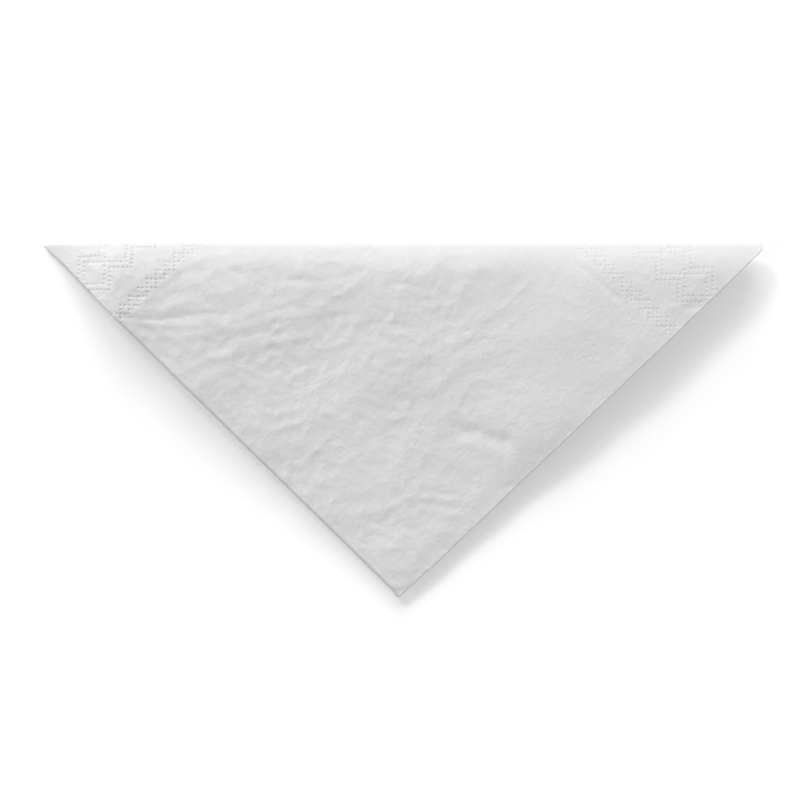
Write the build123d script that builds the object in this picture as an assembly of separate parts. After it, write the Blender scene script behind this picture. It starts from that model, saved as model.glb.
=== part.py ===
from build123d import *
import os
from math import asin, atan2, degrees, hypot, pi, sin, sqrt

# A paper napkin: one square sheet of tissue, folded in half, folded in half again to a
# quarter square, and then folded once more along the diagonal into a triangle.
#
# The last fold isn't pressed flat.  It springs open in a loose round loop along the long
# side of the triangle, so the front half slopes from the top of the loop down to the apex.
# Eight layers lie over each other: four in the front half and four in the back half.
#
# Frame, in millimetres: the long side runs along X on the +Y side, the apex points to -Y,
# and the napkin lies on its back half at z = 0.  The origin is the middle of its box, on
# the surface that it lies on.

# ---- driving dimensions -------------------------------------------------------------
sheet_side = 330.0        # the square sheet, opened flat
paper_thickness = 0.2     # the embossed two-ply tissue, as one layer
layer_gap = 0.3           # air between neighbouring layers
loop_radius = 4.6         # inside radius of the loose diagonal fold
edge_overhang = 0.8       # how far the innermost loose corner reaches past the apex

# ---- worked out from them -----------------------------------------------------------
LAYERS = 4                                        # layers of the quarter-folded sheet
pitch = paper_thickness + layer_gap               # from one layer to the next
stack = LAYERS * paper_thickness + (LAYERS - 1) * layer_gap
loop_outer = loop_radius + stack                  # outside radius of the loop
axis_height = loop_outer                          # the loop's axis above the surface
half_diagonal = sheet_side / sqrt(2) / 2          # of the quarter square: half the long side


def layer_radius(layer):
    """Inside radius of a layer in the loop.  Layer 0 is the outside one, 3 the inside one."""
    return loop_radius + (LAYERS - 1 - layer) * pitch


def fit_front_half():
    """Length and tilt of the front half, so that its apex comes down on the back half.

    The innermost layer measures two half diagonals from its folded corner to its loose
    one, and its bend takes its share of that.  The rest is split between the two halves,
    and the loose corner reaches edge_overhang past the folded one.
    """
    length = half_diagonal
    tilt = 0.0
    for _ in range(12):
        bend = (pi + tilt) * (loop_radius + paper_thickness / 2)
        length = (2 * half_diagonal - bend - edge_overhang) / 2
        reach = hypot(length, loop_radius)
        tilt = atan2(loop_radius, length) + asin((loop_radius - layer_gap) / reach)
    return length, tilt


front_length, front_tilt = fit_front_half()


def back_length(layer):
    """What is left of a layer for the back half: the outer layers lose more in the bend."""
    bend = (pi + front_tilt) * (layer_radius(layer) + paper_thickness / 2)
    return 2 * half_diagonal - front_length - bend


# ---- the front half: the two folds that quarter the sheet ----------------------------
def fold_section():
    """Two layers joined by a half-round fold, as a face in the plane across the fold.

    Local x runs from the fold into the sheet, and local y is height above the axis of
    the second fold.
    """
    inner = layer_gap / 2
    outer = inner + paper_thickness
    low = layer_gap / 2                       # underside of the lower of the two layers
    middle = low + paper_thickness + inner    # height of the fold's own centre
    width = sheet_side / 2
    with BuildSketch() as section:
        with Locations((outer, middle)):
            Circle(outer)
            Circle(inner, mode=Mode.SUBTRACT)
        with Locations((outer, middle)):
            Rectangle(2 * outer, 2 * outer, align=(Align.MIN, Align.CENTER), mode=Mode.SUBTRACT)
        for height in (low, low + pitch):
            with Locations((outer, height)):
                Rectangle(width - outer, paper_thickness, align=(Align.MIN, Align.MIN))
    return section.sketch.face()


def quarter_square():
    """The quarter-folded sheet, lying flat, with its folded corner at the origin.

    The first fold is the edge x = 0, where the layers are joined in pairs.  The second
    fold is the edge y = 0, where the lower pair has come round under the upper one, so
    one fold is nested in the other.  Its axis is at z = 0.
    """
    fold_reach = layer_gap / 2 + 2 * paper_thickness + layer_gap
    across = Plane(origin=(0, fold_reach, 0), x_dir=(1, 0, 0), z_dir=(0, -1, 0))
    section = across * fold_section()
    run = sheet_side / 2 - fold_reach
    upper = extrude(section, amount=-run)
    second_fold = revolve(section, Axis((0, fold_reach, 0), (1, 0, 0)), 180)
    lower = mirror(upper, Plane.XY)
    return upper + second_fold + lower


def front_half(bend_line):
    """The half with the folded corner, cut at the loop and tilted down to the apex."""
    size = front_length * sqrt(2)
    height = 2 * stack
    with BuildPart() as wedge:
        with BuildSketch(Plane.XY.offset(-height / 2)):
            with BuildLine():
                Polyline((0, 0), (size, 0), (0, size), close=True)
            make_face()
        extrude(amount=height)
    sheet = quarter_square() & wedge.part
    # The sheet's first fold becomes the left leg, and its second fold the right one.
    sheet = Pos(0, -front_length, loop_radius + stack / 2) * Rot(0, 0, 45) * sheet
    return Pos(0, bend_line, axis_height) * Rot(degrees(front_tilt), 0, 0) * sheet


# ---- the loop along the diagonal fold --------------------------------------------------
def ring_sector(inside, outside, start, stop, bend_line):
    """A length of pipe wall about the loop's axis, between two angles.

    Angles are measured from +Y towards +Z.
    """
    across = Plane(origin=(0, bend_line, axis_height), x_dir=(0, 1, 0), z_dir=(1, 0, 0))
    with BuildSketch(across) as section:
        with BuildLine():
            wide = CenterArc((0, 0), outside, start, stop - start)
            tight = CenterArc((0, 0), inside, start, stop - start)
            Line(wide @ 0, tight @ 0)
            Line(wide @ 1, tight @ 1)
        make_face()
    return extrude(section.sketch, amount=half_diagonal, both=True)


def plan_prism(y_low, left_low, right_low, y_high, left_high, right_high):
    """An upright prism with a four-sided plan, wide enough in Z to take the whole loop."""
    with BuildPart() as prism:
        with BuildSketch(Plane.XY.offset(-loop_outer)):
            with BuildLine():
                Polyline((left_low, y_low), (right_low, y_low),
                         (right_high, y_high), (left_high, y_high), close=True)
            make_face()
        extrude(amount=4 * loop_outer)
    return prism.part


def front_trim(bend_line, left_inset=0.0, right_inset=0.0):
    """Plan of the loop's upper part, whose ends run on from the legs to the two tips."""
    y_low = bend_line - loop_outer * sin(front_tilt)
    y_high = bend_line + loop_outer
    return plan_prism(y_low, left_inset - front_length, front_length - right_inset,
                      y_high, left_inset - half_diagonal, half_diagonal - right_inset)


def back_trim(layer, bend_line):
    """Plan of one layer in the loop's lower part, down to where its back half begins."""
    half_width = back_length(layer)
    return plan_prism(bend_line, -half_width, half_width,
                      bend_line + loop_outer, -half_diagonal, half_diagonal)


def loop_layer(layer, bend_line):
    """One layer of the loop, from the back half up and over to the front half."""
    inside = layer_radius(layer)
    outside = inside + paper_thickness
    top = 90 + degrees(front_tilt)
    # Layers 1 and 2 are nested inside the second fold, so their right end lies further in.
    nested = pitch if layer in (1, 2) else 0.0
    upper = ring_sector(inside, outside, 0, top, bend_line)
    lower = ring_sector(inside, outside, -90, 0, bend_line)
    upper = upper & front_trim(bend_line, right_inset=nested)
    lower = lower & back_trim(layer, bend_line)
    return upper + lower


def fold_end(outer_layer, inner_layer, side, inset, bend_line):
    """The folded edge that closes two layers together at one end of the loop's upper part.

    It reaches half-way into the wall of both layers.
    """
    inside = layer_radius(inner_layer) + paper_thickness / 2
    outside = layer_radius(outer_layer) + paper_thickness / 2
    wall = ring_sector(inside, outside, 0, 90 + degrees(front_tilt), bend_line)
    deep = inset + paper_thickness * sqrt(2)
    if side == "left":
        return (wall & front_trim(bend_line, left_inset=inset)) - front_trim(bend_line, left_inset=deep)
    return (wall & front_trim(bend_line, right_inset=inset)) - front_trim(bend_line, right_inset=deep)


# ---- the back half: four flat layers with loose edges ----------------------------------
def back_layer(layer, bend_line):
    """One flat triangle of the back half.  Layer 0 lies on the surface."""
    half_width = back_length(layer)
    with BuildPart() as plate:
        with BuildSketch(Plane.XY.offset(layer * pitch)):
            with BuildLine():
                Polyline((-half_width, bend_line), (0, bend_line - half_width),
                         (half_width, bend_line), close=True)
            make_face()
        extrude(amount=paper_thickness)
    return plate.part


def make_napkin():
    """The whole folded sheet as one solid, with its box centred on the origin."""
    bend_line = 0.0
    napkin = front_half(bend_line)
    for layer in range(LAYERS):
        napkin = napkin + loop_layer(layer, bend_line) + back_layer(layer, bend_line)
    # On the left the first fold joins the layers in pairs.
    napkin = napkin + fold_end(0, 1, "left", 0.0, bend_line) + fold_end(2, 3, "left", 0.0, bend_line)
    # On the right the second fold nests the inner pair in the outer one.
    napkin = napkin + fold_end(1, 2, "right", pitch, bend_line)
    napkin = napkin + fold_end(0, 3, "right", 0.0, bend_line)
    box = napkin.bounding_box()
    return Pos(-box.center().X, -box.center().Y, -box.min.Z) * napkin


os.makedirs("parts", exist_ok=True)
napkin = make_napkin()
box = napkin.bounding_box()
sheet_volume = sheet_side ** 2 * paper_thickness
print("solids", len(napkin.solids()), "valid", napkin.is_valid)
print("size", [round(value, 2) for value in (box.size.X, box.size.Y, box.size.Z)])
print("front length", round(front_length, 2), "tilt", round(degrees(front_tilt), 2))
print("volume against the flat sheet's", round(napkin.volume / sheet_volume, 4))
export_step(napkin, "parts/napkin.step")
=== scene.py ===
import math

import bpy
import numpy as np
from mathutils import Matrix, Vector, geometry


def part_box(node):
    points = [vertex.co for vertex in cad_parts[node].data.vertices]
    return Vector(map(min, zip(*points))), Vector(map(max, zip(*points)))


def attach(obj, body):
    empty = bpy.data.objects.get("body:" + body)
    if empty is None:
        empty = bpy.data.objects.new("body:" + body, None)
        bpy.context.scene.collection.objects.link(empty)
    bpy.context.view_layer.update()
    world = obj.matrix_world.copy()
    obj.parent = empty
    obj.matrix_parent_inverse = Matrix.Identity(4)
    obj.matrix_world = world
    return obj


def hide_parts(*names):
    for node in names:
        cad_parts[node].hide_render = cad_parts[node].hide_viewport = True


bl_info = {
    "name": "Folded paper napkin",
    "version": (1, 0, 0),
    "blender": (4, 5, 0),
    "location": "3D View > Sidebar > Napkin",
    "description": "Folds one embossed tissue sheet into a triangle with a loose last fold",
    "category": "Add Mesh",
}

# A square tissue sheet is folded in half twice and then along the diagonal.  Everything is
# worked out from the flat sheet: each point has a place (s, t) on it, measured from the
# middle, and the three folds carry that point to its place in the room.
#
# Names used throughout, in metres:
#   u, v    distance from the two quartering folds, in the quarter square
#   across  place along the long side of the triangle, from its middle
#   run     distance along the paper from the middle of the last fold: positive on the
#           front half, negative on the back half
#   depth   distance from the long side towards the apex, seen from above
#   proud   height of a layer above the middle of the four layers

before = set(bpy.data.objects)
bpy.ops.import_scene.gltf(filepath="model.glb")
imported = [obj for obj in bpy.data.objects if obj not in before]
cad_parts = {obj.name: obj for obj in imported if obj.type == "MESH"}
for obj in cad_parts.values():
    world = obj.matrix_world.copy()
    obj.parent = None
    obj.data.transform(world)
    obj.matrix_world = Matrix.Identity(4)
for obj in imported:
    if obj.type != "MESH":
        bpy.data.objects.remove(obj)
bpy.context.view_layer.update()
LONG_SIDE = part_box("napkin")[1].y

MM = 0.001
ROOT2 = math.sqrt(2.0)

# The mesh: spacings along its folds and round its outline, and how far points keep apart.
FOLD_ROW_STEP = 1.1 * MM
FOLD_ROW_INSET = 0.3 * MM
FOLD_CLEARANCE = 1.2 * MM
OUTLINE_STEP = 1.5 * MM
MERGE_STEP_MM = 0.02
# How far in from its open edge each band is finely meshed, and how far in it is pressed.
LEFT_FINE, RIGHT_FINE = 38 * MM, 46 * MM
LEFT_PRESSED, RIGHT_PRESSED = 37.5 * MM, 45.5 * MM
# How far past the middle of the last fold the fine mesh, the front mesh and the pressing reach.
FINE_PAST_FOLD, FRONT_PAST_FOLD, PRESSED_PAST_FOLD = 3.0 * MM, 12 * MM, 2.5 * MM

# The pressed layers stand apart over this distance from a pressed fold.
LAYERS_APART_REACH = 8 * MM
# How far the loop's foremost paper lies inside the CAD model's long side.
LOOP_INSET = 2.3 * MM
# Height of the front half at the loop, the share of the depth that it falls by, and the least.
FRONT_LOFT, LOFT_FALL, LEAST_LOFT = 10.5 * MM, 0.065, 3.0 * MM
# Where the right tip and the apex are blunted, and the share of what lies past it that is left.
TIP_BLUNTED, TIP_SHARE = 2.4 * MM, 0.3
APEX_BLUNT_DEPTH, APEX_SHARE = 112.6 * MM, 0.6
# Where across and depth add up to the right leg, and how far it steps in above the apex.
RIGHT_LEG, LEG_STEP = 111 * MM, 0.45 * MM
# The turned-up rim along the left leg: its width, and the depths at which it starts and is full.
RIM_WIDTH, RIM_START, RIM_FULL = 0.3 * MM, 22 * MM, 40 * MM
# Soft crumples: broad waves, and sharp ones with their size in millimetres, share of the
# height, seed and number of waves.
BROAD_WAVE, BROAD_SEED, BROAD_COUNT = 38, 3, 22
SHARP_WAVES = ((20, 0.60, 11, 22), (10, 0.55, 5, 22), (5, 0.30, 8, 40))

FLOOR_REACH = 6.0
SENSOR_WIDTH = 36.0
# Height above the floor at which the camera's view has its set width.
VIEW_HEIGHT = 2 * MM


# ---- sizes and colours a user would change --------------------------------------------
def length(name, default, description):
    return bpy.props.FloatProperty(
        name=name, default=default, description=description, unit="LENGTH", precision=5)


def number(name, default, description):
    return bpy.props.FloatProperty(name=name, default=default, description=description)


def colour(name, default, description):
    return bpy.props.FloatVectorProperty(
        name=name, default=default, description=description, subtype="COLOR", size=3, min=0, max=1)


def angle(name, degrees, description):
    return bpy.props.FloatProperty(
        name=name, default=math.radians(degrees), description=description, subtype="ANGLE")


class NAPKIN_PG_sheet(bpy.types.PropertyGroup):
    side: length("Sheet side", 0.330, "Side of the square sheet, opened flat")
    thickness: length("Paper thickness", 0.00016, "Thickness of the two plies together")
    layer_pitch: length("Layer pitch", 0.00042, "From one layer to the next in the folded stack")
    edge_pitch: length("Edge pitch", 0.00018, "The same, at the pressed folds along the two legs")
    first_fold_shift: length("First fold shift", 0.0004, "How far the first fold misses the middle")
    second_fold_shift: length("Second fold shift", -0.0005, "How far the second fold misses the middle")
    last_fold_shift: length("Last fold shift", -0.0004, "How much longer the last fold makes the front half")
    fold_lean: angle("Fold lean", 31, "Slope at which the last fold meets the front half")
    roll: length("Roll above the fold", 0.0078, "How gently the front half rolls into the last fold")
    roll_power: number("Roll sharpness", 1.6, "How sharply that roll ends")
    tuck: length("Tuck below the fold", 0.0045, "How gently the back half rolls into the last fold")
    front_slack: number("Front slack", 0.020, "Share of the front half's length that its crumples take up")
    pinched: number("Pinched height", 0.12, "Share of the height left at the pinched left tip")
    pinch_reach: length("Pinch reach", 0.027, "How far from the left tip the pinching reaches")
    apex_gap: length("Apex gap", 0.0007, "Air between the two halves at the apex")
    rim_height: length("Rim height", 0.00016, "How far the fold along the left leg turns up at its rim")
    apex_lean: length("Apex lean", -0.0013, "How far the apex lies to one side of the middle")
    fine_step: length("Fine mesh", 0.00043, "Mesh spacing where the embossing shows")
    front_step: length("Front mesh", 0.00080, "Mesh spacing on the front half")
    back_step: length("Back mesh", 0.0021, "Mesh spacing on the back half")
    hidden_step: length("Inner mesh", 0.0030, "Mesh spacing on the layers inside")


class NAPKIN_PG_border(bpy.types.PropertyGroup):
    dot_pitch: length("Dot pitch", 0.00141, "From one embossed dot to the next")
    dot_width: length("Dot width", 0.0008, "Width of one embossed dot")
    dot_depth: length("Dot depth", 0.00019, "Depth of one embossed dot")
    left_edge_gap: length("Left band from edge", 0.01960, "From the left open edge to its band's middle")
    right_edge_gap: length("Right band from edge", 0.02586, "From the right open edge to its band's middle")
    left_start: length("Left band start", 0.00100, "Where the left band's first square begins")
    right_start: length("Right band start", 0.00154, "Where the right band's first square begins")
    large_square: number("Large square", 5.0, "Side of the large squares, in dots")
    small_square: number("Small square", 2.0, "Side of the small squares, in dots")
    right_share: number("Right band depth", 0.6, "Depth of the right band's dots, as a share of the left's")
    fade: length("Fade at the fold", 0.0100, "How far from the last fold the dots are stretched flat")
    step_gap: number("Stepped line gap", 1.38, "From the large chain to the line beside it, in dots")
    chain_gap: number("Chain gap", 8.0, "From the large chain in to the small one, in dots")


class NAPKIN_PG_paper(bpy.types.PropertyGroup):
    colour: colour("Paper colour", (0.87, 0.87, 0.87), "Colour of the tissue")
    cloud: number("Cloudiness", 0.02, "How much the tissue's density varies the colour")
    roughness: number("Roughness", 0.95, "Roughness of the tissue")
    crease_strength: number("Crease strength", 1.2, "How deep the placed creases and dents are")
    crumple_height: length("Crumple height", 0.00029, "Height of the soft crumples")
    fine_crumple: length("Fine crumple", 0.00010, "Height of the fine crisp crumples")
    fibre_height: length("Fibre height", 0.00006, "Height of the fine tissue grain")


class NAPKIN_PG_stage(bpy.types.PropertyGroup):
    floor_colour: colour("Floor colour", (0.95, 0.95, 0.95), "Colour of the floor")
    floor_lift: number("Floor lift", 0.275, "White added where the camera sees the floor")
    key_strength: number("Key light", 0.76, "Strength of the key light")
    key_height: angle("Key height", 37, "Angle of the key light above the floor")
    key_turn: angle("Key turn", 32, "Turn of the key light from +Y towards -X")
    key_softness: angle("Key softness", 12, "Angular width of the key light")
    broad_strength: number("Broad light", 1.40, "Strength of the broad light")
    broad_height: angle("Broad height", 29, "Angle of the broad light above the floor")
    broad_turn: angle("Broad turn", 3, "Turn of the broad light from +Y towards -X")
    broad_softness: angle("Broad softness", 34, "Angular width of the broad light")
    fill_strength: number("Fill light", 0.42, "Strength of the fill light")
    fill_height: angle("Fill height", 20, "Angle of the fill light above the floor")
    fill_turn: angle("Fill turn", 112, "Turn of the fill light from +Y towards -X")
    fill_softness: angle("Fill softness", 40, "Angular width of the fill light")
    ambient: number("Ambient", 0.39, "Strength of the light from all round")
    lens: number("Lens", 85.0, "Focal length of the camera in millimetres")
    field: length("Field", 0.2592, "Width of the camera's view at the napkin")
    aim_right: length("Aim right", -0.0013, "Middle of the view from the napkin's middle, along X")
    aim_up: length("Aim up", 0.0076, "Middle of the view from the napkin's middle, along Y")


# ---- small helpers --------------------------------------------------------------------
def smooth_step(low, high, value):
    """0 below low, 1 above high, and a smooth rise between."""
    share = np.clip((value - low) / (high - low), 0.0, 1.0)
    return share * share * (3 - 2 * share)


def hump(value, middle, width):
    """A soft hump of height 1."""
    return np.exp(-((value - middle) / width) ** 2)


# ---- the flat sheet and its mesh --------------------------------------------------------
def lattice(step, low, high):
    """Points on a square lattice that lies at 45 degrees to the sheet's edges."""
    reach = int(high * ROOT2 / step) + 2
    rows, columns = np.meshgrid(np.arange(-reach, reach + 1), np.arange(-reach, reach + 1))
    along = rows.ravel() * step
    over = columns.ravel() * step
    u = (over + along) / ROOT2
    v = (over - along) / ROOT2
    inside = (u > low) & (v > low) & (u < high) & (v < high)
    return u[inside], v[inside]


def quadrant_points(sheet, sign_s, sign_t):
    """Mesh points inside one quadrant of the sheet."""
    half = sheet.side / 2
    middle_of_bend = half / ROOT2
    outside = sign_s > 0 and sign_t > 0
    points = []
    steps = [sheet.hidden_step]
    if outside:
        steps = [sheet.fine_step, sheet.front_step, sheet.back_step]
    for step in steps:
        margin = max(step * 0.6, FOLD_CLEARANCE)
        u, v = lattice(step, margin, half - step * 0.55)
        over = (u + v) / ROOT2
        if outside:
            front = over < middle_of_bend + FRONT_PAST_FOLD
            fine = (over < middle_of_bend + FINE_PAST_FOLD) & (
                (half - v < LEFT_FINE) | (half - u < RIGHT_FINE))
            keep = {sheet.fine_step: fine, sheet.front_step: front & ~fine, sheet.back_step: ~front}[step]
            u, v = u[keep], v[keep]
        points.append(np.column_stack((sign_s * u, sign_t * v)))
    return np.vstack(points)


def fold_rows(sheet):
    """Rows of points that lie along the two quartering folds, close enough to round them."""
    half = sheet.side / 2
    along = np.linspace(-half, half, int(sheet.side / FOLD_ROW_STEP) + 1)
    first = math.pi / 2 * sheet.edge_pitch / 2
    second = math.pi / 2 * sheet.edge_pitch
    rows = []
    for share in (-4, -1, -0.5, 0, 0.5, 1, 4):
        rows.append(np.column_stack((np.full_like(along, share * first), along)))
        rows.append(np.column_stack((along, np.full_like(along, share * second))))
    return np.vstack(rows)


def outline_points(sheet):
    """Points round the sheet's four cut edges."""
    half = sheet.side / 2
    count = int(sheet.side / OUTLINE_STEP)
    along = np.linspace(-half, half, count + 1)
    edge = np.full(count, half)
    return np.vstack((np.column_stack((along[:-1], -edge)), np.column_stack((edge, along[:-1])),
                      np.column_stack((along[:0:-1], edge)), np.column_stack((-edge, along[:0:-1]))))


def flat_sheet(sheet):
    """The opened sheet as points (s, t) and triangles."""
    half = sheet.side / 2
    inner = [quadrant_points(sheet, a, b) for a in (1, -1) for b in (1, -1)]
    outline = outline_points(sheet)
    rows = fold_rows(sheet)
    rows = rows[(np.abs(rows) < half - FOLD_ROW_INSET).all(axis=1)]
    points = np.vstack([outline, rows] + inner)
    # Points closer than this would make needle triangles.
    points = np.unique(np.round(points / (MERGE_STEP_MM * MM)), axis=0)
    points = points * MERGE_STEP_MM * MM
    triangles = geometry.delaunay_2d_cdt(
        [Vector(p) for p in points.tolist()], [], [], 0, 1e-7, False)
    corners = np.array([(p.x, p.y) for p in triangles[0]])
    faces = [face for face in triangles[2] if len(face) == 3]
    return corners, np.array(faces)


# ---- the three folds ------------------------------------------------------------------
def quarter(sheet, s, t):
    """Folds the sheet in half twice.  Returns u, v and how proud each point lies."""
    first_radius = sheet.edge_pitch / 2
    second_radius = sheet.edge_pitch
    turn = np.clip(s / first_radius, -math.pi / 2, math.pi / 2)
    past = np.abs(s) - np.abs(turn) * first_radius
    u = first_radius * (1 - np.cos(turn)) + past
    rise = first_radius * np.sin(turn)
    turn = np.clip(t / second_radius, -math.pi / 2, math.pi / 2)
    past = np.abs(t) - np.abs(turn) * second_radius
    v = second_radius + first_radius - (second_radius + rise) * np.cos(turn) + past
    proud = (second_radius + rise) * np.sin(turn)
    # Away from the pressed folds the layers stand apart.
    apart = smooth_step(0, LAYERS_APART_REACH, np.minimum(u, v))
    return u, v, proud * (1 + (sheet.layer_pitch / sheet.edge_pitch - 1) * apart)


def turn_integrals(start, settle, power, count=4000, reach=60.0):
    """How far a strip gets while its slope settles from one angle to another.

    The slope settles over a unit length, and a higher power makes it settle more sharply.
    Returns the table's lengths, and the level and upright distances covered up to each.
    """
    lengths = np.linspace(0.0, reach, count)
    slope = settle + (start - settle) * np.exp(-lengths ** power)
    step = lengths[1] - lengths[0]

    def covered(rate):
        return np.concatenate(([0.0], np.cumsum((rate[1:] + rate[:-1]) / 2) * step))

    return lengths, covered(np.cos(slope)), covered(np.sin(slope))


def follow(tables, length_scale, run, settle):
    """Level and upright distance along a strip, past the end of the table too."""
    lengths, level, upright = tables
    share = run / length_scale
    inside = np.minimum(share, lengths[-1])
    beyond = (share - inside) * length_scale
    return (np.interp(inside, lengths, level) * length_scale + beyond * math.cos(settle),
            np.interp(inside, lengths, upright) * length_scale + beyond * math.sin(settle))


def fold_tables(sheet, fall):
    """The curves of the front half and of the back half, away from where they meet."""
    front = turn_integrals(sheet.fold_lean, fall, sheet.roll_power)
    return front, turn_integrals(sheet.fold_lean, math.pi, 1.0)


def fold_lift(sheet, back):
    """Height at which the two halves meet in the last fold."""
    return 2 * sheet.layer_pitch + sheet.tuck * back[2][-1]


def front_fall(sheet):
    """Slope of the front half that brings its apex down on the back half."""
    run = sheet.side / ROOT2 / 2 + sheet.last_fold_shift
    target = 6 * sheet.layer_pitch + sheet.apex_gap
    low, high = math.radians(-20), 0.0
    for _ in range(24):
        fall = (low + high) / 2
        front, back = fold_tables(sheet, fall)
        height = fold_lift(sheet, back) + follow(front, sheet.roll, run, fall)[1]
        low, high = (fall, high) if height < target else (low, fall)
    return fall


def loose_fold(sheet, across, run, proud):
    """Bends the quarter square over the loose last fold.  Returns depth and height."""
    fall = front_fall(sheet)
    front, back = fold_tables(sheet, fall)
    lift = fold_lift(sheet, back)
    ahead = np.maximum(run, 0)
    behind = np.maximum(-run, 0)
    front_level, front_upright = follow(front, sheet.roll, ahead, fall)
    back_level, back_upright = follow(back, sheet.tuck, behind, math.pi)
    depth = np.where(run >= 0, front_level * (1 - sheet.front_slack), -back_level)
    height = np.where(run >= 0, lift + front_upright, lift - back_upright)
    front_slope = fall + (sheet.fold_lean - fall) * np.exp(-(ahead / sheet.roll) ** sheet.roll_power)
    back_slope = math.pi - (math.pi - sheet.fold_lean) * np.exp(-behind / sheet.tuck)
    slope = np.where(run >= 0, front_slope, back_slope)
    depth = depth - sheet.tuck * back[1].max() - proud * np.sin(slope)
    height = height + proud * np.cos(slope)
    # The left tip is pinched nearly flat.
    from_left = across + sheet.side / ROOT2 / 2
    squash = sheet.pinched + (1 - sheet.pinched) * smooth_step(0, sheet.pinch_reach, from_left)
    return depth, height * squash


# ---- crumples, creases and dents --------------------------------------------------------
def stroke(x, y, points, height, left_width, right_width):
    """A crease along a line: height above the sheet, and how far it spreads on each side."""
    nearest = np.full(x.shape, 1e9)
    side = np.ones(x.shape)
    for (x0, y0), (x1, y1) in zip(points[:-1], points[1:]):
        dx, dy = x1 - x0, y1 - y0
        share = np.clip(((x - x0) * dx + (y - y0) * dy) / (dx * dx + dy * dy), 0, 1)
        gap_x = x - x0 - share * dx
        gap_y = y - y0 - share * dy
        gap = np.hypot(gap_x, gap_y)
        closer = gap < nearest
        nearest = np.where(closer, gap, nearest)
        side = np.where(closer, np.sign(dx * gap_y - dy * gap_x), side)
    width = np.where(side > 0, left_width, right_width)
    return height * np.exp(-(nearest / width) ** 2)


def waves(x, y, size, seed, count):
    """Soft random waves about one size, between about -1 and 1."""
    random = np.random.default_rng(seed)
    total = np.zeros(x.shape)
    for _ in range(count):
        heading = random.uniform(0, 2 * math.pi)
        wave = 2 * math.pi / size * random.uniform(0.6, 1.5)
        phase = random.uniform(0, 2 * math.pi)
        total += np.cos(wave * (x * math.cos(heading) + y * math.sin(heading)) + phase)
    return total / math.sqrt(count)


# Each crease, in millimetres: points (across, depth), height, and spread on its two sides.
CREASES = (
    # the long crease from the left leg, which bends up towards the loop
    (((-90, 23.6), (-83.6, 24.6), (-78, 24.5), (-72.4, 23.6), (-67.2, 22.9), (-61.1, 22.4),
      (-56.8, 22.9)), -0.24, 1.1, 0.45),
    (((-57, 22.9), (-50, 19.5), (-43, 14), (-34, 12)), -0.10, 1.6, 0.9),
    (((-90, 25.0), (-82, 25.9), (-74, 27.0), (-66, 27)), 0.17, 0.5, 1.4),
    (((-93.6, 21.9), (-90, 22.8)), -0.16, 0.5, 0.5),
    (((-104, 12), (-96, 18)), 0.10, 1.2, 1.2),
    # ridges that fan out below it
    (((-69, 30), (-53, 27.4), (-37, 23.5), (-24, 22.8)), 0.17, 1.1, 1.8),
    (((-58, 36.5), (-40, 31.6), (-30, 30)), 0.16, 1.2, 1.9),
    (((-66, 32), (-55, 31), (-44, 28.5)), -0.12, 0.9, 0.9),
    (((-52, 24), (-40, 20), (-31, 17)), 0.14, 0.9, 1.4),
    (((-62, 42), (-48, 40), (-41, 36)), 0.10, 1.0, 1.4),
    (((-49, 46), (-38, 44.5), (-27, 38)), 0.10, 0.9, 1.4),
    # the furrow just below the loop
    (((-71, 9.8), (-60, 8.6), (-50, 9.4), (-41, 12)), -0.17, 1.3, 1.8),
    (((-39, 12), (-26, 12.6), (-14, 9.5)), -0.19, 1.1, 1.4),
    (((-7, 14.5), (2, 13.5), (9, 15.5)), -0.15, 1.1, 1.4),
    (((-12.6, 11.5), (-19, 15.5), (-27, 20.3)), 0.14, 0.9, 1.4),
    (((-8, 13), (-3, 22), (-5, 30)), 0.09, 1.1, 1.1),
    (((2, 12), (12, 10), (24, 13)), -0.07, 1.0, 1.0),
    (((-20, 27), (-8, 24), (4, 26)), 0.09, 0.9, 1.5),
    (((-18, 36), (-9, 40), (-2, 37)), 0.09, 0.9, 1.4),
    # the fine straight crease at 45 degrees, and the small peak beside it
    (((17, 34), (32, 20.2), (47, 6)), 0.07, 0.5, 0.9),
    (((53, 5.5), (59, 10), (68, 18)), -0.22, 0.8, 1.2),
    (((52, 6.5), (48, 12)), -0.08, 0.8, 0.8),
    (((40, 15), (52, 18), (60, 27)), 0.06, 0.9, 1.4),
    # the dent in the middle of the right leg's side
    (((18, 59.8), (24.5, 60.8), (32, 64)), -0.52, 2.8, 2.4),
    (((33, 61), (32, 70), (31, 78.6), (37.6, 77)), -0.11, 0.9, 0.9),
    # small folds by the left leg
    (((-46, 65.6), (-41.8, 71.5)), 0.15, 0.8, 1.2),
    (((-37.5, 75), (-34, 79.5), (-30.5, 82)), 0.14, 0.8, 1.2),
    (((-33.7, 72), (-24, 62.4)), 0.13, 0.8, 1.1),
    (((-41, 60), (-33, 58), (-28, 52)), 0.09, 0.9, 1.3),
    # the arc and the short creases above the apex
    (((-7.8, 88.3), (-3, 84), (1.9, 81.8), (14.9, 82.8)), 0.16, 0.9, 1.3),
    (((0.5, 91.5), (3.5, 91.8)), -0.20, 1.1, 1.1),
    (((-9.5, 91.8), (-6.5, 92.5)), 0.14, 0.6, 0.6),
    (((-4, 98), (-1, 98)), 0.12, 0.6, 0.6),
    (((8.4, 99.6), (14.9, 99.6)), 0.09, 0.5, 0.5),
    (((-8, 103), (-3, 106), (1, 104.5)), 0.10, 0.8, 0.8),
    (((-5, 109.4), (-1.5, 111), (1.5, 109.8)), 0.12, 0.5, 0.5),
    # where the right leg has been held
    (((90, 21), (96, 19.5)), -0.20, 1.3, 1.3),
)


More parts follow.
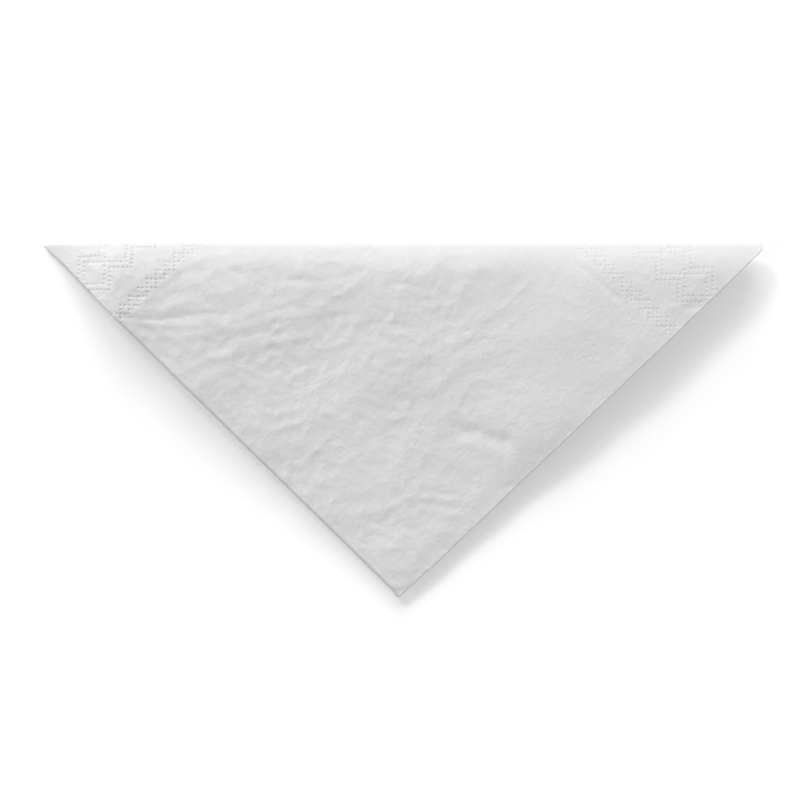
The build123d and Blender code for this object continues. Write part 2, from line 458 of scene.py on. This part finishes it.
def relief(paper, across, depth):
    """Height of the crumples over the front half, worked out in millimetres."""
    x = across / MM
    y = depth / MM
    height = np.zeros(x.shape)
    for points, rise, left_width, right_width in CREASES:
        height += stroke(x, y, points, paper.crease_strength * rise, left_width, right_width)
    # The centre and left are more crumpled than the right, and the middle more than the apex.
    lively = 0.38 + 0.62 * (1 - smooth_step(8, 50, x)) * (1 - 0.25 * smooth_step(42, 70, y))
    soft = paper.crumple_height / MM
    height += soft * waves(x, y, BROAD_WAVE, BROAD_SEED, BROAD_COUNT)
    # Where a wave turns sharply at its middle line it leaves a crisp crease.
    for size, share, seed, count in SHARP_WAVES:
        height -= soft * share * lively * np.abs(waves(x, y, size, seed, count))
    # The right leg is pressed down where it has been held.
    height -= 1.2 * hump(x, 42, 11) * hump(y, 84, 12)
    # The right side lies flatter than the rest.
    height += 1.5 * smooth_step(20, 60, x) * smooth_step(5, 45, y)
    return height * MM


def crumple(paper, x, y, z):
    """Lifts or lowers each point, keeping the layers in their order and the back half flat."""
    depth = LONG_SIDE - y
    loft = FRONT_LOFT - LOFT_FALL * depth
    # Well below that loft lies the back half, which keeps its shape.
    grip = smooth_step(0.15, 0.9, z / np.maximum(loft, LEAST_LOFT))
    return z + relief(paper, x, depth) * grip


def blunt(value, limit, share):
    """Presses back whatever lies past a limit."""
    past = value - limit
    return np.where(past > 0, limit + past * share, value)


def handle(sheet, across, depth):
    """Small shifts in plan, from folding and handling: blunt tips and a leaning apex."""
    tip = sheet.side / ROOT2 / 2
    x = across + sheet.apex_lean * depth / tip
    x = blunt(x, tip - TIP_BLUNTED, TIP_SHARE)
    depth = blunt(depth, APEX_BLUNT_DEPTH, APEX_SHARE)
    # The right leg steps in a little above the apex.
    near_leg = smooth_step(-6 * MM, -1 * MM, x + depth - RIGHT_LEG)
    x = x - LEG_STEP * near_leg * smooth_step(101.5 * MM, 103.5 * MM, depth)
    return x, depth


def fold_point(sheet, paper, s, t):
    """Takes points of the flat sheet to their places in the folded napkin."""
    u, v, proud = quarter(sheet, s - sheet.first_fold_shift, t - sheet.second_fold_shift)
    across = (u - v) / ROOT2
    run = sheet.side / ROOT2 / 2 + sheet.last_fold_shift - (u + v) / ROOT2
    depth, height = loose_fold(sheet, across, run, proud)
    x, depth = handle(sheet, across, depth)
    y = LONG_SIDE - LOOP_INSET - depth
    rim = sheet.rim_height * np.exp(-(u / RIM_WIDTH) ** 2) * smooth_step(RIM_START, RIM_FULL, depth)
    z = crumple(paper, x, y, height) + np.where(run > 0, rim, 0)
    return x, y, z


# ---- node helpers, for shader and geometry trees alike ----------------------------------
def socket(tree, name, direction, kind, default=None):
    made = tree.interface.new_socket(name=name, in_out=direction, socket_type=kind)
    if default is not None:
        made.default_value = default
    return made


def put(tree, item, target):
    """Joins a socket, or sets a plain number."""
    if isinstance(item, bpy.types.NodeSocket):
        tree.links.new(item, target)
    else:
        target.default_value = item


def maths(tree, operation, *items):
    """A Math node.  Its inputs are sockets or plain numbers."""
    node = tree.nodes.new("ShaderNodeMath")
    node.operation = operation
    for item, target in zip(items, node.inputs):
        put(tree, item, target)
    return node.outputs[0]


def place_group(tree, group, kind, **values):
    """Places a node group in a tree and sets its inputs by name."""
    node = tree.nodes.new(kind)
    node.node_tree = group
    for name, value in values.items():
        put(tree, value, node.inputs[name.replace("_", " ")])
    return node


# ---- the embossed border ----------------------------------------------------------------
GROUP_NODES = {"ShaderNodeTree": "ShaderNodeGroup", "GeometryNodeTree": "GeometryNodeGroup"}
# How steeply a dot's pit ends at its rim.
PIT_SHARPNESS = 1.4


def chain_group(tree_kind):
    """Round dots along a chain of hollow squares, joined corner to corner.

    Column and row count dots on a square lattice, and the chain runs along its diagonal.
    The upper and lower dots are the squares' sides on either side of that diagonal.
    """
    tree = bpy.data.node_groups.new("Square chain", tree_kind)
    for name in ("Column", "Row", "Side", "Pitch", "Width"):
        socket(tree, name, "INPUT", "NodeSocketFloat")
    for name in ("Dot", "Upper dot", "Lower dot"):
        socket(tree, name, "OUTPUT", "NodeSocketFloat")
    given = tree.nodes.new("NodeGroupInput").outputs
    out = tree.nodes.new("NodeGroupOutput").inputs

    column = maths(tree, "ROUND", given["Column"])
    row = maths(tree, "ROUND", given["Row"])
    gap_column = maths(tree, "SUBTRACT", given["Column"], column)
    gap_row = maths(tree, "SUBTRACT", given["Row"], row)
    gap = maths(tree, "ADD", maths(tree, "MULTIPLY", gap_column, gap_column),
                maths(tree, "MULTIPLY", gap_row, gap_row))
    radius = maths(tree, "DIVIDE", maths(tree, "MULTIPLY", given["Width"], 0.5), given["Pitch"])
    share = maths(tree, "DIVIDE", gap, maths(tree, "MULTIPLY", radius, radius))
    pit = maths(tree, "EXPONENT", maths(tree, "MULTIPLY", share, -PIT_SHARPNESS))

    # The small shift keeps a shared corner clear of the rounding.
    both = maths(tree, "ADD", maths(tree, "ADD", column, row), 0.25)
    sides = maths(tree, "MULTIPLY", given["Side"], 2.0)
    which = maths(tree, "FLOOR", maths(tree, "DIVIDE", both, sides))
    half = maths(tree, "MULTIPLY", given["Side"], 0.5)
    middle = maths(tree, "ADD", maths(tree, "MULTIPLY", which, given["Side"]), half)
    from_column = maths(tree, "ABSOLUTE", maths(tree, "SUBTRACT", column, middle))
    from_row = maths(tree, "ABSOLUTE", maths(tree, "SUBTRACT", row, middle))
    on_square = maths(tree, "COMPARE", maths(tree, "MAXIMUM", from_column, from_row), half, 0.3)
    dot = maths(tree, "MULTIPLY", on_square, pit)
    lead = maths(tree, "SUBTRACT", column, row)
    put(tree, dot, out["Dot"])
    put(tree, maths(tree, "MULTIPLY", dot, maths(tree, "GREATER_THAN", lead, -0.5)), out["Upper dot"])
    put(tree, maths(tree, "MULTIPLY", dot, maths(tree, "LESS_THAN", lead, 0.5)), out["Lower dot"])
    return tree


def band_group(tree_kind, chain):
    """One side's band: a large chain, a stepped line each side of it, and a small inner chain."""
    tree = bpy.data.node_groups.new("Dotted band", tree_kind)
    for name in ("Along", "From middle", "Pitch", "Width", "Large side", "Small side", "Step gap",
                 "Chain gap"):
        socket(tree, name, "INPUT", "NodeSocketFloat")
    socket(tree, "Dot", "OUTPUT", "NodeSocketFloat")
    given = tree.nodes.new("NodeGroupInput").outputs
    scale = maths(tree, "MULTIPLY", given["Pitch"], ROOT2)
    column = maths(tree, "DIVIDE", maths(tree, "ADD", given["Along"], given["From middle"]), scale)
    row = maths(tree, "DIVIDE", maths(tree, "SUBTRACT", given["Along"], given["From middle"]), scale)

    def dots(shift, lead, side, output):
        moved_column = maths(tree, "SUBTRACT", maths(tree, "SUBTRACT", column, lead), shift)
        moved_row = maths(tree, "ADD", maths(tree, "SUBTRACT", row, lead), shift)
        made = place_group(tree, chain, GROUP_NODES[tree_kind], Column=moved_column, Row=moved_row,
                           Side=side, Pitch=given["Pitch"], Width=given["Width"])
        return made.outputs[output]

    back_step = maths(tree, "MULTIPLY", given["Step gap"], -1.0)
    on = dots(0.0, 0.0, given["Large side"], "Dot")
    for other in (dots(given["Step gap"], 0.0, given["Large side"], "Upper dot"),
                  dots(back_step, 0.0, given["Large side"], "Lower dot"),
                  dots(given["Chain gap"], 1.0, given["Small side"], "Dot")):
        on = maths(tree, "MAXIMUM", on, other)
    put(tree, on, tree.nodes.new("NodeGroupOutput").inputs["Dot"])
    return tree


def border_group(tree_kind, sheet, border):
    """The whole embossed border, read from a place on the flat sheet in metres."""
    band = band_group(tree_kind, chain_group(tree_kind))
    tree = bpy.data.node_groups.new("Embossed border", tree_kind)
    socket(tree, "Place", "INPUT", "NodeSocketVector")
    socket(tree, "Dot", "OUTPUT", "NodeSocketFloat")
    given = tree.nodes.new("NodeGroupInput").outputs
    split = tree.nodes.new("ShaderNodeSeparateXYZ")
    tree.links.new(given["Place"], split.inputs[0])
    u = maths(tree, "ABSOLUTE", split.outputs["X"])
    v = maths(tree, "ABSOLUTE", split.outputs["Y"])
    dots = []
    sides = ((u, v, border.left_edge_gap, border.left_start, 1.0),
             (v, u, border.right_edge_gap, border.right_start, border.right_share))
    for along, other, gap, start, share in sides:
        made = place_group(tree, band, GROUP_NODES[tree_kind],
                           Along=maths(tree, "SUBTRACT", along, start),
                           From_middle=maths(tree, "SUBTRACT", sheet.side / 2 - gap, other),
                           Pitch=border.dot_pitch, Width=border.dot_width,
                           Large_side=border.large_square, Small_side=border.small_square,
                           Step_gap=border.step_gap, Chain_gap=border.chain_gap)
        dots.append(maths(tree, "MULTIPLY", made.outputs["Dot"], share))
    # The last fold stretches the paper, and the dots near it lie flat.
    fold_line = sheet.side / ROOT2 + sheet.last_fold_shift * ROOT2
    to_fold = maths(tree, "SUBTRACT", fold_line, maths(tree, "ADD", u, v))
    kept = maths(tree, "MULTIPLY", to_fold, 1 / (border.fade * ROOT2))
    kept = maths(tree, "MINIMUM", maths(tree, "MAXIMUM", kept, 0.0), 1.0)
    dot = maths(tree, "MULTIPLY", maths(tree, "MAXIMUM", *dots), kept)
    put(tree, dot, tree.nodes.new("NodeGroupOutput").inputs["Dot"])
    return tree


# ---- the tissue -------------------------------------------------------------------------
def tissue_grain_group():
    """The soft cloudiness and fine grain of tissue."""
    tree = bpy.data.node_groups.new("Tissue grain", "ShaderNodeTree")
    socket(tree, "Place", "INPUT", "NodeSocketVector")
    socket(tree, "Cloud", "OUTPUT", "NodeSocketFloat")
    socket(tree, "Grain", "OUTPUT", "NodeSocketFloat")
    socket(tree, "Crumple", "OUTPUT", "NodeSocketFloat")
    given = tree.nodes.new("NodeGroupInput").outputs["Place"]
    out = tree.nodes.new("NodeGroupOutput").inputs

    def noise(scale, detail, rough):
        node = tree.nodes.new("ShaderNodeTexNoise")
        node.inputs["Scale"].default_value = scale
        node.inputs["Detail"].default_value = detail
        node.inputs["Roughness"].default_value = rough
        tree.links.new(given, node.inputs["Vector"])
        return node.outputs[0]

    put(tree, noise(scale=260.0, detail=3.0, rough=0.6), out["Cloud"])
    fine = noise(scale=2600.0, detail=2.0, rough=0.55)
    soft = maths(tree, "MULTIPLY", noise(scale=700.0, detail=3.0, rough=0.5), 2.2)
    put(tree, maths(tree, "ADD", fine, soft), out["Grain"])
    # Where a noise crosses its middle value it leaves a crisp crease.
    crossing = maths(tree, "SUBTRACT", noise(scale=300.0, detail=4.0, rough=0.6), 0.5)
    creases = maths(tree, "ABSOLUTE", crossing)
    # Some patches of the paper are more crumpled than others, and none is quite smooth.
    patches = maths(tree, "MULTIPLY", noise(scale=45.0, detail=2.0, rough=0.5), 3.0)
    patches = maths(tree, "MAXIMUM", maths(tree, "SUBTRACT", patches, 0.8), 0.25)
    put(tree, maths(tree, "MULTIPLY", creases, maths(tree, "MULTIPLY", patches, -4.0)), out["Crumple"])
    return tree


def tissue_material(sheet, border, paper):
    """Matte white tissue with its grain and embossing."""
    material = bpy.data.materials.new("White tissue")
    material.use_nodes = True
    tree = material.node_tree
    shader = tree.nodes["Principled BSDF"]
    shader.inputs["Specular IOR Level"].default_value = 0.15
    place = tree.nodes.new("ShaderNodeUVMap")
    place.uv_map = "flat"
    in_metres = tree.nodes.new("ShaderNodeVectorMath")
    in_metres.operation = "MULTIPLY_ADD"
    in_metres.inputs[1].default_value = (sheet.side, sheet.side, 0)
    in_metres.inputs[2].default_value = (-sheet.side / 2, -sheet.side / 2, 0)
    tree.links.new(place.outputs[0], in_metres.inputs[0])
    grain = place_group(tree, tissue_grain_group(), "ShaderNodeGroup", Place=in_metres.outputs[0])
    dots = place_group(tree, border_group("ShaderNodeTree", sheet, border), "ShaderNodeGroup",
                       Place=in_metres.outputs[0])

    mix = tree.nodes.new("ShaderNodeMix")
    mix.data_type = "RGBA"
    mix.inputs["A"].default_value = [c * (1 - paper.cloud) for c in paper.colour] + [1]
    mix.inputs["B"].default_value = [min(1, c * (1 + paper.cloud)) for c in paper.colour] + [1]
    tree.links.new(grain.outputs["Cloud"], mix.inputs["Factor"])
    tree.links.new(mix.outputs["Result"], shader.inputs["Base Color"])
    shader.inputs["Roughness"].default_value = paper.roughness

    height = maths(tree, "MULTIPLY", grain.outputs["Grain"], paper.fibre_height)
    crumples = maths(tree, "MULTIPLY", grain.outputs["Crumple"], paper.fine_crumple)
    height = maths(tree, "ADD", height, crumples)
    pits = maths(tree, "MULTIPLY", dots.outputs["Dot"], -border.dot_depth)
    bump = tree.nodes.new("ShaderNodeBump")
    bump.inputs["Distance"].default_value = 1.0
    put(tree, maths(tree, "ADD", height, pits), bump.inputs["Height"])
    tree.links.new(bump.outputs["Normal"], shader.inputs["Normal"])
    return material


# ---- the napkin's mesh --------------------------------------------------------------------
def emboss_tree(sheet, border, material):
    """Geometry nodes that press the border's dots into the mesh where it is fine enough."""
    tree = bpy.data.node_groups.new("Press the border", "GeometryNodeTree")
    socket(tree, "Geometry", "INPUT", "NodeSocketGeometry")
    socket(tree, "Dot depth", "INPUT", "NodeSocketFloat", 0.0)
    socket(tree, "Geometry", "OUTPUT", "NodeSocketGeometry")
    given = tree.nodes.new("NodeGroupInput").outputs
    place = tree.nodes.new("GeometryNodeInputNamedAttribute")
    place.data_type = "FLOAT_VECTOR"
    place.inputs["Name"].default_value = "flat place"
    fine = tree.nodes.new("GeometryNodeInputNamedAttribute")
    fine.data_type = "FLOAT"
    fine.inputs["Name"].default_value = "finely meshed"
    dots = place_group(tree, border_group("GeometryNodeTree", sheet, border), "GeometryNodeGroup",
                       Place=place.outputs["Attribute"])
    depth = maths(tree, "MULTIPLY", dots.outputs["Dot"], fine.outputs["Attribute"])
    depth = maths(tree, "MULTIPLY", depth, given["Dot depth"])
    depth = maths(tree, "MULTIPLY", depth, -1.0)
    normal = tree.nodes.new("GeometryNodeInputNormal")
    offset = tree.nodes.new("ShaderNodeVectorMath")
    offset.operation = "SCALE"
    tree.links.new(normal.outputs["Normal"], offset.inputs[0])
    tree.links.new(depth, offset.inputs["Scale"])
    move = tree.nodes.new("GeometryNodeSetPosition")
    real = tree.nodes.new("GeometryNodeRealizeInstances")
    finish = tree.nodes.new("GeometryNodeSetMaterial")
    finish.inputs["Material"].default_value = material
    tree.links.new(given["Geometry"], move.inputs["Geometry"])
    tree.links.new(offset.outputs[0], move.inputs["Offset"])
    tree.links.new(move.outputs[0], real.inputs[0])
    tree.links.new(real.outputs[0], finish.inputs["Geometry"])
    tree.links.new(finish.outputs[0], tree.nodes.new("NodeGroupOutput").inputs["Geometry"])
    return tree


def set_input(modifier, name, value):
    """Sets a geometry nodes input through its socket's identifier."""
    for item in modifier.node_group.interface.items_tree:
        if item.item_type == "SOCKET" and item.in_out == "INPUT" and item.name == name:
            modifier[item.identifier] = value
            return
    raise RuntimeError("The node tree has no input named " + name)


def baked(made):
    """The object's mesh with its modifiers applied, as a plain object's mesh."""
    bpy.context.view_layer.update()
    shaped = made.evaluated_get(bpy.context.evaluated_depsgraph_get())
    mesh = bpy.data.meshes.new_from_object(shaped)
    old = made.data
    made.modifiers.clear()
    made.data = mesh
    bpy.data.meshes.remove(old)
    return made


def make_napkin(sheet, border, paper):
    """The folded sheet: one mesh, from the flat sheet through its three folds."""
    corners, faces = flat_sheet(sheet)
    s, t = corners[:, 0], corners[:, 1]
    places = np.column_stack(fold_point(sheet, paper, s, t))

    mesh = bpy.data.meshes.new("napkin")
    mesh.from_pydata(places.tolist(), [], faces.tolist())
    flat_place = np.column_stack((s, t, np.zeros_like(s))).astype(np.float32)
    flat_attribute = mesh.attributes.new("flat place", "FLOAT_VECTOR", "POINT")
    flat_attribute.data.foreach_set("vector", flat_place.ravel())
    half = sheet.side / 2
    front = (s + t) / ROOT2 < half / ROOT2 + PRESSED_PAST_FOLD
    bands = (half - t < LEFT_PRESSED) | (half - s < RIGHT_PRESSED)
    fine = (front & bands & (s > MM) & (t > MM)).astype(np.float32)
    fine_attribute = mesh.attributes.new("finely meshed", "FLOAT", "POINT")
    fine_attribute.data.foreach_set("value", fine)
    flat_map = mesh.uv_layers.new(name="flat")
    corner_points = np.empty(len(mesh.loops), dtype=np.int64)
    mesh.loops.foreach_get("vertex_index", corner_points)
    coordinates = np.column_stack((s / sheet.side + 0.5, t / sheet.side + 0.5))[corner_points]
    flat_map.data.foreach_set("uv", coordinates.astype(np.float32).ravel())
    mesh.shade_smooth()

    napkin = bpy.data.objects.new("folded_napkin", mesh)
    bpy.context.scene.collection.objects.link(napkin)
    material = tissue_material(sheet, border, paper)
    mesh.materials.append(material)
    press = napkin.modifiers.new("Press the border", "NODES")
    press.node_group = emboss_tree(sheet, border, material)
    set_input(press, "Dot depth", border.dot_depth)
    wall = napkin.modifiers.new("Paper thickness", "SOLIDIFY")
    wall.thickness = sheet.thickness
    wall.offset = 0.0
    wall.use_even_offset = False
    baked(napkin)
    lowest = min(v.co.z for v in napkin.data.vertices)
    for vertex in napkin.data.vertices:
        vertex.co.z -= lowest
    return napkin


# ---- the floor, lights and camera -----------------------------------------------------------
def camera_ray_mask(tree):
    """1 for rays from the camera, and for what glossy and clear surfaces would show."""
    rays = tree.nodes.new("ShaderNodeLightPath").outputs
    seen = maths(tree, "MAXIMUM", rays["Is Camera Ray"], rays["Is Glossy Ray"])
    return maths(tree, "MAXIMUM", seen, rays["Is Transmission Ray"])


def make_floor(stage):
    """A plain white floor that still shows the napkin's shadow."""
    mesh = bpy.data.meshes.new("floor")
    corners = [(FLOOR_REACH * x, FLOOR_REACH * y, 0) for x, y in ((-1, -1), (1, -1), (1, 1), (-1, 1))]
    mesh.from_pydata(corners, [], [(0, 1, 2, 3)])
    floor = bpy.data.objects.new("floor", mesh)
    bpy.context.scene.collection.objects.link(floor)
    material = bpy.data.materials.new("White floor")
    material.use_nodes = True
    tree = material.node_tree
    shader = tree.nodes["Principled BSDF"]
    shader.inputs["Base Color"].default_value = (*stage.floor_colour, 1)
    shader.inputs["Roughness"].default_value = 1.0
    shader.inputs["Specular IOR Level"].default_value = 0.0
    glow = tree.nodes.new("ShaderNodeEmission")
    put(tree, maths(tree, "MULTIPLY", camera_ray_mask(tree), stage.floor_lift), glow.inputs["Strength"])
    both = tree.nodes.new("ShaderNodeAddShader")
    tree.links.new(shader.outputs[0], both.inputs[0])
    tree.links.new(glow.outputs[0], both.inputs[1])
    tree.links.new(both.outputs[0], tree.nodes["Material Output"].inputs["Surface"])
    mesh.materials.append(material)
    return floor


def make_sun(name, strength, height, turn, softness):
    """A soft light from one direction."""
    lamp = bpy.data.lights.new(name, "SUN")
    lamp.energy = strength
    lamp.angle = softness
    sun = bpy.data.objects.new(name, lamp)
    away = Vector((-math.sin(turn) * math.cos(height), math.cos(turn) * math.cos(height), math.sin(height)))
    sun.rotation_euler = away.to_track_quat("Z", "Y").to_euler()
    sun.location = away
    bpy.context.scene.collection.objects.link(sun)


def make_lights(stage):
    """A key and a broad light from beyond the long side, a weak fill, and light from all round."""
    make_sun("key", stage.key_strength, stage.key_height, stage.key_turn, stage.key_softness)
    make_sun("broad", stage.broad_strength, stage.broad_height, stage.broad_turn, stage.broad_softness)
    make_sun("fill", stage.fill_strength, stage.fill_height, stage.fill_turn, stage.fill_softness)
    world = bpy.data.worlds.new("studio")
    bpy.context.scene.world = world
    world.use_nodes = True
    tree = world.node_tree
    background = tree.nodes["Background"]
    background.inputs["Color"].default_value = (1, 1, 1, 1)
    mask = camera_ray_mask(tree)
    lit = maths(tree, "MULTIPLY", maths(tree, "SUBTRACT", 1.0, mask), stage.ambient)
    put(tree, maths(tree, "ADD", mask, lit), background.inputs["Strength"])


def make_camera(stage):
    """A long lens, straight above the napkin."""
    data = bpy.data.cameras.new("camera")
    data.lens = stage.lens
    data.sensor_width = SENSOR_WIDTH
    camera = bpy.data.objects.new("camera", data)
    distance = stage.field * data.lens / data.sensor_width
    camera.location = (stage.aim_right, stage.aim_up, VIEW_HEIGHT + distance)
    bpy.context.scene.collection.objects.link(camera)
    bpy.context.scene.camera = camera


# ---- operators, panel and registration --------------------------------------------------------
class NAPKIN_OT_fold(bpy.types.Operator):
    """Fold the embossed sheet into the napkin"""
    bl_idname = "napkin.fold"
    bl_label = "Fold napkin"

    def execute(self, context):
        scene = context.scene
        sheet = scene.napkin_sheet
        napkin = make_napkin(sheet, scene.napkin_border, scene.napkin_paper)
        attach(napkin, "root")
        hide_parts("napkin")
        return {"FINISHED"}


class NAPKIN_OT_stage(bpy.types.Operator):
    """Set out the floor, the lights and the camera"""
    bl_idname = "napkin.stage"
    bl_label = "Set stage"

    def execute(self, context):
        stage = context.scene.napkin_stage
        make_floor(stage)
        make_lights(stage)
        make_camera(stage)
        context.scene.view_settings.view_transform = "Standard"
        return {"FINISHED"}


class NAPKIN_PT_panel(bpy.types.Panel):
    bl_idname = "NAPKIN_PT_panel"
    bl_label = "Napkin"
    bl_space_type = "VIEW_3D"
    bl_region_type = "UI"
    bl_category = "Napkin"

    def draw(self, context):
        layout = self.layout
        for group in ("napkin_sheet", "napkin_border", "napkin_paper", "napkin_stage"):
            box = layout.box()
            settings = getattr(context.scene, group)
            for name in settings.bl_rna.properties.keys():
                if name not in ("rna_type", "name"):
                    box.prop(settings, name)
        layout.operator(NAPKIN_OT_fold.bl_idname)
        layout.operator(NAPKIN_OT_stage.bl_idname)


GROUPS = {"napkin_sheet": NAPKIN_PG_sheet, "napkin_border": NAPKIN_PG_border,
          "napkin_paper": NAPKIN_PG_paper, "napkin_stage": NAPKIN_PG_stage}
CLASSES = (*GROUPS.values(), NAPKIN_OT_fold, NAPKIN_OT_stage, NAPKIN_PT_panel)


def register():
    for kind in CLASSES:
        bpy.utils.register_class(kind)
    for name, kind in GROUPS.items():
        setattr(bpy.types.Scene, name, bpy.props.PointerProperty(type=kind))


def unregister():
    for name in GROUPS:
        delattr(bpy.types.Scene, name)
    for kind in reversed(CLASSES):
        bpy.utils.unregister_class(kind)


def main():
    register()
    bpy.ops.napkin.fold()
    bpy.ops.napkin.stage()


if __name__ == "__main__":
    main()
